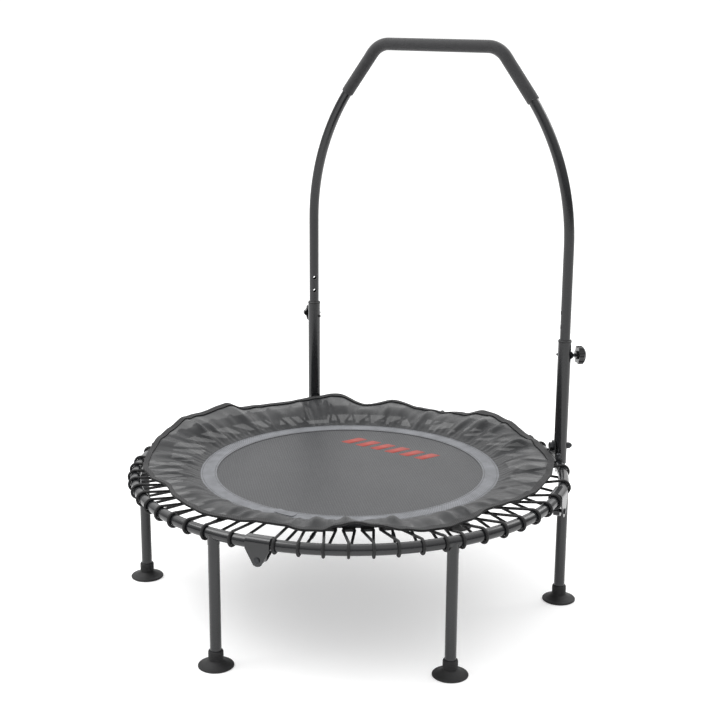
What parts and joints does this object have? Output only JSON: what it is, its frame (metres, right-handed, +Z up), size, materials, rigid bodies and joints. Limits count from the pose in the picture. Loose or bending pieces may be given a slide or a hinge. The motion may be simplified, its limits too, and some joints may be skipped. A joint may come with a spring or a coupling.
{
  "type": "mini trampoline",
  "caption": "Round rebounder with a bungee-strung jumping mat on a folding ring, screw-in legs and a height-adjustable handlebar.",
  "frame": {"origin": "on the floor under the centre of the ring", "axes": "+Z up; +Y from the centre towards the handlebar; +X to the right of someone who faces the handlebar"},
  "size_m": [1.005, 1.0449, 1.2468],
  "materials": {
    "frame_paint": "satin dark grey powder coat",
    "steel": "dark zinc-plated steel",
    "foot_rubber": "matte black rubber",
    "grip_foam": "matte closed-cell foam",
    "bushing_plastic": "matte black plastic",
    "knob_plastic": "glossy black plastic",
    "mat_fabric": "woven dark grey polypropylene",
    "band_webbing": "light grey woven webbing with stitching",
    "skirt_fabric": "shiny semi-sheer dark grey cloth, black binding",
    "loop_webbing": "black webbing",
    "bungee_cord": "black braided elastic cord"
  },
  "bodies": {
    "rear_half": {"band_rear": "band_webbing", "bracket_fasteners": "steel", "bushing_left": "bushing_plastic", "bushing_right": "bushing_plastic", "cord_loops_rear": "loop_webbing", "cords_rear": "bungee_cord", "foot_left_rear": "foot_rubber", "foot_rear": "foot_rubber", "foot_right_rear": "foot_rubber", "hinge_pin_left": "steel", "hinge_pin_rear": "steel", "hinge_pin_right": "steel", "hinge_saddle_left": "frame_paint", "hinge_saddle_rear": "frame_paint", "hinge_saddle_right": "frame_paint", "hinge_tongue_rear": "frame_paint", "leg_left_rear": "frame_paint", "leg_rear": "frame_paint", "leg_right_rear": "frame_paint", "leg_sockets_rear": "frame_paint", "leg_studs_rear": "steel", "lock_bosses": "frame_paint", "lower_post_left": "frame_paint", "lower_post_right": "frame_paint", "mat_rear": "mat_fabric", "post_bracket_left": "frame_paint", "post_bracket_right": "frame_paint", "ring_left_rear": "frame_paint", "ring_right_rear": "frame_paint", "skirt_rear": "skirt_fabric"},
    "front_half": {"band_front": "band_webbing", "cord_crimps": "steel", "cord_loops_front": "loop_webbing", "cords_front": "bungee_cord", "foot_front": "foot_rubber", "foot_left_front": "foot_rubber", "foot_right_front": "foot_rubber", "hinge_pin_front": "steel", "hinge_saddle_front": "frame_paint", "hinge_tongue_front": "frame_paint", "hinge_tongue_left": "frame_paint", "hinge_tongue_right": "frame_paint", "leg_front": "frame_paint", "leg_left_front": "frame_paint", "leg_right_front": "frame_paint", "leg_sockets_front": "frame_paint", "leg_studs_front": "steel", "mat_front": "mat_fabric", "ring_left_front": "frame_paint", "ring_right_front": "frame_paint", "skirt_front": "skirt_fabric"},
    "handlebar": {"upper_tube_right": "frame_paint", "upper_tube_left": "frame_paint", "tube_joiner": "steel", "grip_right": "grip_foam", "grip_left": "grip_foam"},
    "lock_screw_right": {"lock_screw_right": "steel"},
    "lock_knob_right": {"lock_knob_right": "knob_plastic"},
    "lock_screw_left": {"lock_screw_left": "steel"},
    "lock_knob_left": {"lock_knob_left": "knob_plastic"}
  },
  "joints": [
    {"name": "frame_fold", "type": "hinge", "parent": "rear_half", "child": "front_half", "pos_m": [0, 0, 0.259], "axis": [0.9703, 0.2419, 0], "range_deg": [0, 120], "stiffness_Nm_per_rad": 15, "springref_deg": -85.94},
    {"name": "handle_height", "type": "slide", "parent": "rear_half", "child": "handlebar", "axis": [0, 0, 1], "range_m": [-0.1005, 0.0335]},
    {"name": "lock_travel_right", "type": "slide", "parent": "rear_half", "child": "lock_screw_right", "axis": [-0.723, -0.6909, 0], "range_m": [0, 0.005]},
    {"name": "lock_turn_right", "type": "hinge", "parent": "lock_screw_right", "child": "lock_knob_right", "pos_m": [0.35888, 0.34295, 0.544], "axis": [-0.723, -0.6909, 0], "range_deg": [0, 1440]},
    {"name": "lock_travel_left", "type": "slide", "parent": "rear_half", "child": "lock_screw_left", "axis": [0.723, -0.6909, 0], "range_m": [0, 0.005]},
    {"name": "lock_turn_left", "type": "hinge", "parent": "lock_screw_left", "child": "lock_knob_left", "pos_m": [-0.35888, 0.34295, 0.544], "axis": [0.723, -0.6909, 0], "range_deg": [0, 1440]}
  ],
  "couplings": [
    {"joint": "lock_travel_right", "follows": "lock_turn_right", "m_per_rad": 0.00019894},
    {"joint": "lock_travel_left", "follows": "lock_turn_left", "m_per_rad": 0.00019894}
  ]
}
